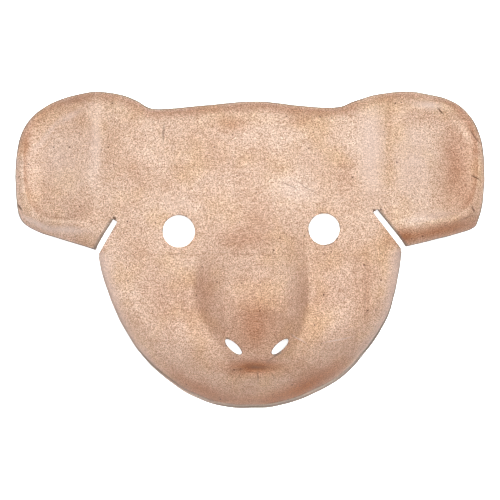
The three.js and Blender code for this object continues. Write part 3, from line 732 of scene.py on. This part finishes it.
    grainHeight = addNode(tree, "ShaderNodeMath", {"operation": "MULTIPLY"}, {
        0: grain, 1: paper["grainDepth"]})
    height = addNode(tree, "ShaderNodeMath", {"operation": "MULTIPLY_ADD"}, {
        0: fibreFactor, 1: -paper["fibreDepth"], 2: grainHeight})
    height = addNode(tree, "ShaderNodeMath", {"operation": "MULTIPLY_ADD"}, {
        0: paintedCreaseShade, 1: -paper["creaseDepth"], 2: height})
    height = addNode(tree, "ShaderNodeMath", {"operation": "MULTIPLY_ADD"}, {
        0: paintedCreaseHighlight, 1: paper["creaseDepth"], 2: height})
    relit = addNode(tree, "ShaderNodeBump", inputs={
        "Height": height, "Distance": mm, "Strength": 1}, output="Normal")
    shader = addNode(tree, "ShaderNodeBsdfPrincipled", inputs={
        "Base Color": color, "Roughness": paper["roughness"], "IOR": 1.5, "Normal": relit})
    addNode(tree, "ShaderNodeOutputMaterial", inputs={"Surface": shader})
    return material


def cutEdge():
    # cut edge of the layers: paler and greyer than the paper's face, a little fibrous
    material = bpy.data.materials.new("cutPaperEdge")
    material.use_nodes = True
    tree = material.node_tree
    tree.nodes.clear()
    place = paperCoordinates(tree)
    fibres = addNode(tree, "ShaderNodeTexNoise", inputs={"Vector": place, "Scale": 1.4, "Detail": 4})
    color = addNode(tree, "ShaderNodeMix", {"data_type": "RGBA"}, {
        0: fibres, 6: hexColor(paper["edge"]), 7: hexColor(paper["base"])}, output=2)
    shader = addNode(tree, "ShaderNodeBsdfPrincipled", inputs={
        "Base Color": color, "Roughness": 0.9, "IOR": 1.5})
    addNode(tree, "ShaderNodeOutputMaterial", inputs={"Surface": shader})
    return material


def buildMask():
    materials = [kraftPaper(), cutEdge()]
    piece = meshObject("paperShell", growShell(), materials)
    print("shell: outline grown to the hub,", len(piece.data.polygons), "faces")
    cutter = meshObject("shellCutter", cutterMesh(), materials)
    wall = piece.modifiers.new("wall", "SOLIDIFY")
    wall.thickness = shell["wall"] * mm
    wall.offset = -1
    wall.material_offset_rim = 1
    trim = piece.modifiers.new("cuts", "BOOLEAN")
    trim.operation = "DIFFERENCE"
    trim.solver = "MANIFOLD"
    trim.object = cutter
    bpy.context.view_layer.update()
    finished = bpy.data.meshes.new_from_object(piece.evaluated_get(bpy.context.evaluated_depsgraph_get()))
    piece.modifiers.clear()
    piece.data = finished
    bpy.data.objects.remove(cutter)
    bm = bmesh.new()
    bm.from_mesh(finished)
    slopeLayer = bm.verts.layers.float.new("slope")
    stainAndShadeLayer = bm.verts.layers.float.new("stainAndShade")
    rimLayer = bm.verts.layers.float.new("rim")
    cutLayer = bm.verts.layers.float.new("cut")
    stations = outlineStations()
    outline = kdtree.KDTree(len(stations))
    for i, station in enumerate(stations):
        outline.insert((*station["point"], 0), i)
    outline.balance()
    for vert in bm.verts:        # the foot stays on the table
        vert.co.z = max(vert.co.z, 0)
        vert[slopeLayer] = 1 - abs(vert.normal.z)
        place = vert.co.xy / mm
        station = stations[outline.find((*place, 0))[1]]
        fromEdge = (place - station["point"]).dot(station["inward"])
        vert[rimLayer] = fromEdge
        vert[cutLayer] = len({face.material_index for face in vert.link_faces}) - 1
        vert[stainAndShadeLayer] = stainAndShadeAt(*place)
        # painted light along the jaw's sides, painted shade near the chin's edge and along the turned-back
        # edge above; the outermost edge of ears and forehead is rubbed pale
        if station["isJaw"]:
            side = min(max(abs(place.x) / paper["chinReach"] - 1, 0), 1)
            vert[stainAndShadeLayer] -= side * paper["jawSideLight"] * bell(fromEdge, paper["jawSideLightWidth"])
            vert[stainAndShadeLayer] += (1 - side) * paper["chinShade"] * bell(
                fromEdge - paper["chinShadePlace"], paper["chinShadeWidth"])
            left = min(max(-place.x / paper["chinReach"] - 0.3, 0), 1)
            vert[rimLayer] += left * paper["rimLine"] * 2 - (1 - side) * (1 - left) * paper["chinEdgeShade"]
            vert[cutLayer] *= 1 - left
        else:
            vert[stainAndShadeLayer] -= paper["lipWear"] * bell(fromEdge, paper["lipWearWidth"])
            if place.y > paper["lipShadeStart"] * shell["crownRise"]:
                inFrom = fromEdge - paper["lipShadePlace"]
                vert[stainAndShadeLayer] += paper["lipShade"] * bell(inFrom, paper["lipShadeWidth"])
    for face in bm.faces:
        face.smooth = True
    bm.to_mesh(finished)
    bm.free()
    finished.set_sharp_from_angle(angle=math.radians(shell["sharpAngle"]))
    print("shell: walls and cuts made,", len(finished.polygons), "faces")
    return piece


maskPiece = buildMask()
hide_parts("mask_shell")
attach(maskPiece, "root")

studio = {
    "floorSize": 6.0,
    "floorGlow": 0.9,
    "cameraHeight": 1.8,
    "frameWidth": 0.24,          # what the picture's width shows, on the level named next
    "frameLevel": 0.002,
    "world": 0.02,
    # name, place, size, power in watts
    "lamps": [
        ("frontSoft", (0.05, 0.16, 1.6), 0.4, 27.0),
        ("leftSoft", (-1.15, -0.7, 0.6), 0.8, 3.6),
        ("rightSoft", (1.35, 0.1, 0.6), 0.8, 2.2),
    ],
}


def buildStudio():
    bm = bmesh.new()
    bmesh.ops.create_grid(bm, x_segments=1, y_segments=1, size=studio["floorSize"] / 2)
    bmesh.ops.translate(bm, verts=bm.verts[:], vec=(0, 0, -0.0002))
    material = bpy.data.materials.new("whiteTable")
    material.use_nodes = True
    tree = material.node_tree
    tree.nodes.clear()
    shader = addNode(tree, "ShaderNodeBsdfPrincipled", inputs={
        "Base Color": hexColor("#f4f4f4"), "Roughness": 0.9,
        "Emission Color": (1, 1, 1, 1), "Emission Strength": studio["floorGlow"]})
    addNode(tree, "ShaderNodeOutputMaterial", inputs={"Surface": shader})
    floor = meshObject("whiteTable", bm, [material])
    lit = bpy.data.collections.new("litByTable")     # the table's glow lights the table alone
    lit.objects.link(floor)
    floor.light_linking.receiver_collection = lit
    for name, place, size, power in studio["lamps"]:     # each is aimed at the mask's middle
        light = bpy.data.lights.new(name, "AREA")
        light.shape = "RECTANGLE"
        light.size, light.size_y, light.energy = size, size, power
        lamp = bpy.data.objects.new(name, light)
        lamp.location = place
        lamp.rotation_euler = (-Vector(place)).to_track_quat("-Z", "Y").to_euler()
        bpy.context.scene.collection.objects.link(lamp)
    world = bpy.data.worlds.new("studioWalls")
    world.use_nodes = True
    background = world.node_tree.nodes["Background"]
    background.inputs["Color"].default_value = (1, 1, 1, 1)
    background.inputs["Strength"].default_value = studio["world"]
    bpy.context.scene.world = world
    camera = bpy.data.cameras.new("camera")
    camera.sensor_fit = "HORIZONTAL"
    camera.sensor_width = 36
    camera.lens = 36 * (studio["cameraHeight"] - studio["frameLevel"]) / studio["frameWidth"]
    camera.clip_end = 20
    view = bpy.data.objects.new("camera", camera)
    view.location = (0, 0, studio["cameraHeight"])
    bpy.context.scene.collection.objects.link(view)
    bpy.context.scene.camera = view
    bpy.context.scene.view_settings.view_transform = "Standard"
    print("studio: table, lamps and camera placed")


buildStudio()
